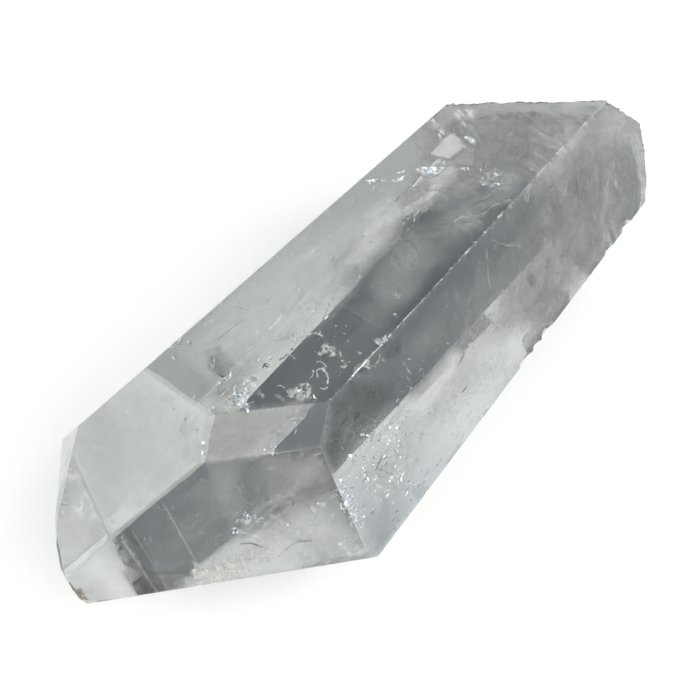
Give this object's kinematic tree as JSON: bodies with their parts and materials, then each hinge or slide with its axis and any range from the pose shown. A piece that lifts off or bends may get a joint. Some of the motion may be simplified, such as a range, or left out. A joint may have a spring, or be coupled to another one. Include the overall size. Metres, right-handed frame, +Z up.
{
  "type": "quartz point",
  "caption": "Clear hexagonal quartz crystal with a faceted, slightly worn point and a rough slanted broken end, lying on one long face.",
  "frame": {"origin": "middle of the bounding box, on the surface the crystal lies on", "axes": "+X along the crystal from its point to its broken end, +Z up from the bottom face"},
  "size_m": [0.0848, 0.0288, 0.0267],
  "materials": {
    "clear_quartz": "natural crystal faces, clear with cloudy veils"
  },
  "bodies": {
    "root": {"quartz_crystal": "clear_quartz"}
  },
  "joints": []
}
